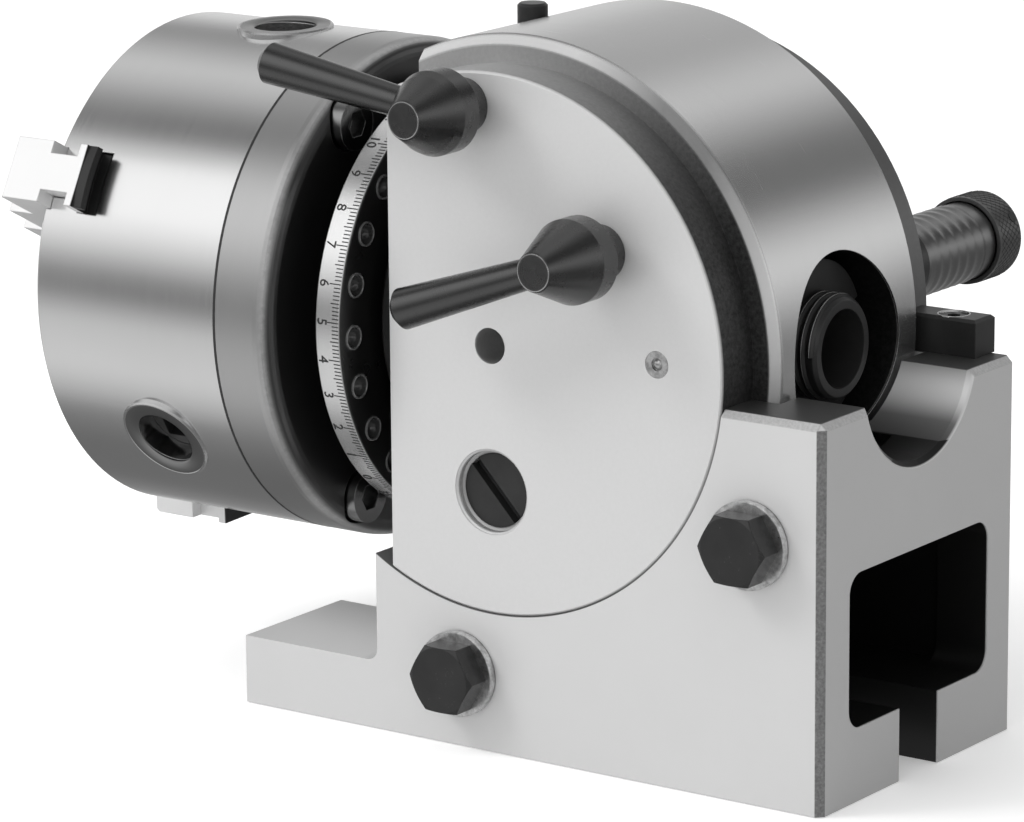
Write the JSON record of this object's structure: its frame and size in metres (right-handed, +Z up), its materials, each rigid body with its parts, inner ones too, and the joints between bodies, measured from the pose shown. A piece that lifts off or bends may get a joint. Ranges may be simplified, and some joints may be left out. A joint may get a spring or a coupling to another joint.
{
  "type": "dividing head",
  "caption": "Tilting dividing head: drum in a split base, worm-driven hollow spindle, index plate and crank, quick-index ring and three-jaw scroll chuck.",
  "frame": {"origin": "on the base's bottom face, straight below the point where the spindle axis crosses the tilt axis", "axes": "+X along the spindle towards the chuck, +Y towards the side with the two clamping levers, +Z up"},
  "size_m": [0.242, 0.1958, 0.1723],
  "materials": {
    "ground_iron": "ground satin",
    "drum_steel": "ground",
    "polished_steel": "polished",
    "machined_steel": "machined",
    "bright_zinc": "bright plated",
    "black_oxide": "black oxide, satin",
    "bronze": "machined",
    "spring_steel": "bright"
  },
  "bodies": {
    "base": {"base_casting": "ground_iron", "clamp_bolts": "black_oxide", "clamp_washers": "bright_zinc", "clamp_bushes": "machined_steel", "clamp_nuts": "black_oxide", "tilt_index_block": "black_oxide", "tilt_index_screw": "black_oxide"},
    "swivel": {"swivel_housing": "drum_steel", "front_cover": "machined_steel", "cover_screws": "black_oxide", "front_bearing_bush": "bronze", "rear_bearing_bush": "bronze", "worm_end_plug": "black_oxide", "ball_oiler": "bright_zinc", "spindle_lock_pads": "machined_steel", "pin_lock_pads": "machined_steel", "bore_plugs": "machined_steel"},
    "spindle": {"spindle": "machined_steel", "wheel_key": "machined_steel", "worm_wheel": "bronze", "spindle_lock_nut": "machined_steel", "thrust_washer": "machined_steel", "direct_index_ring": "machined_steel", "chuck_adapter": "drum_steel", "adapter_screws": "black_oxide", "chuck_body": "polished_steel", "chuck_back_cover": "machined_steel"},
    "scroll": {"chuck_scroll": "machined_steel"},
    "pinion_1": {"scroll_pinion_1": "black_oxide"},
    "pinion_2": {"scroll_pinion_2": "black_oxide"},
    "pinion_3": {"scroll_pinion_3": "black_oxide"},
    "jaw_1": {"chuck_jaw_1": "machined_steel"},
    "jaw_2": {"chuck_jaw_2": "machined_steel"},
    "jaw_3": {"chuck_jaw_3": "machined_steel"},
    "index_pin": {"direct_index_pin": "machined_steel", "index_pin_knob": "black_oxide"},
    "worm_carrier": {"worm_sleeve": "machined_steel", "worm_bush": "bronze", "release_lever": "black_oxide", "index_plate": "machined_steel", "plate_screws": "black_oxide"},
    "sector_front": {"sector_arm_front": "machined_steel"},
    "sector_rear": {"sector_arm_rear": "machined_steel"},
    "crank": {"worm_shaft": "machined_steel", "crank_arm": "black_oxide", "crank_washer": "bright_zinc", "crank_nut": "black_oxide", "plunger_barrel": "black_oxide", "plunger_spring": "spring_steel"},
    "plunger": {"plunger_rod": "machined_steel", "plunger_cap": "black_oxide"},
    "pin_lock": {"pin_lock_hub": "black_oxide", "pin_lock_handle": "black_oxide"},
    "spindle_lock": {"spindle_lock_hub": "black_oxide", "spindle_lock_handle": "black_oxide"}
  },
  "joints": [
    {"name": "tilt", "type": "hinge", "parent": "base", "child": "swivel", "pos_m": [0, 0, 0.1], "axis": [0, -1, 0], "range_deg": [-10, 90]},
    {"name": "spindle_turn", "type": "hinge", "parent": "swivel", "child": "spindle", "pos_m": [0, 0, 0.1], "axis": [1, 0, 0], "continuous": true},
    {"name": "scroll_turn", "type": "hinge", "parent": "spindle", "child": "scroll", "pos_m": [0.1015, 0, 0.1], "axis": [1, 0, 0], "range_deg": [-1010, 290]},
    {"name": "pinion_1_turn", "type": "hinge", "parent": "spindle", "child": "pinion_1", "pos_m": [0.0915, 0.00166, 0.14997], "axis": [0, 0.0332, 0.9995], "range_deg": [-1750, 6070]},
    {"name": "pinion_2_turn", "type": "hinge", "parent": "spindle", "child": "pinion_2", "pos_m": [0.0915, 0.04245, 0.07358], "axis": [0, 0.849, -0.5284], "range_deg": [-1750, 6070]},
    {"name": "pinion_3_turn", "type": "hinge", "parent": "spindle", "child": "pinion_3", "pos_m": [0.0915, -0.04411, 0.07645], "axis": [0, -0.8821, -0.471], "range_deg": [-1750, 6070]},
    {"name": "jaw_1_slide", "type": "slide", "parent": "spindle", "child": "jaw_1", "axis": [0, 0.8821, 0.471], "range_m": [-0.017, 0.005]},
    {"name": "jaw_2_slide", "type": "slide", "parent": "spindle", "child": "jaw_2", "axis": [0, -0.0332, -0.9995], "range_m": [-0.017, 0.005]},
    {"name": "jaw_3_slide", "type": "slide", "parent": "spindle", "child": "jaw_3", "axis": [0, -0.849, 0.5284], "range_m": [-0.017, 0.005]},
    {"name": "index_pin_slide", "type": "slide", "parent": "swivel", "child": "index_pin", "axis": [1, 0, 0], "range_m": [0, 0.006]},
    {"name": "worm_release", "type": "hinge", "parent": "swivel", "child": "worm_carrier", "pos_m": [0.003, -0.03, 0.0644], "axis": [0, -1, 0], "range_deg": [0, 90]},
    {"name": "sector_front_turn", "type": "hinge", "parent": "worm_carrier", "child": "sector_front", "pos_m": [0, -0.069, 0.0644], "axis": [0, -1, 0], "continuous": true},
    {"name": "sector_rear_turn", "type": "hinge", "parent": "worm_carrier", "child": "sector_rear", "pos_m": [0, -0.071, 0.0644], "axis": [0, -1, 0], "continuous": true},
    {"name": "crank_turn", "type": "hinge", "parent": "worm_carrier", "child": "crank", "pos_m": [0, -0.04, 0.0644], "axis": [0, 1, 0], "continuous": true},
    {"name": "plunger_pull", "type": "slide", "parent": "crank", "child": "plunger", "axis": [0, -1, 0], "range_m": [-0.006, 0], "deforming": ["plunger_spring"]},
    {"name": "pin_lock_turn", "type": "hinge", "parent": "swivel", "child": "pin_lock", "pos_m": [0.0065, 0.05, 0.157], "axis": [0, 1, 0], "range_deg": [-60, 40]},
    {"name": "spindle_lock_turn", "type": "hinge", "parent": "swivel", "child": "spindle_lock", "pos_m": [-0.0322, 0.05, 0.1263], "axis": [0, 1, 0], "range_deg": [-30, 30]}
  ],
  "couplings": [
    {"joint": "crank_turn", "follows": "spindle_turn", "ratio": -40},
    {"joint": "pinion_1_turn", "follows": "scroll_turn", "ratio": -6},
    {"joint": "jaw_1_slide", "follows": "scroll_turn", "m_per_rad": 0.00095493},
    {"joint": "pinion_2_turn", "follows": "scroll_turn", "ratio": -6},
    {"joint": "jaw_2_slide", "follows": "scroll_turn", "m_per_rad": 0.00095493},
    {"joint": "pinion_3_turn", "follows": "scroll_turn", "ratio": -6},
    {"joint": "jaw_3_slide", "follows": "scroll_turn", "m_per_rad": 0.00095493}
  ]
}
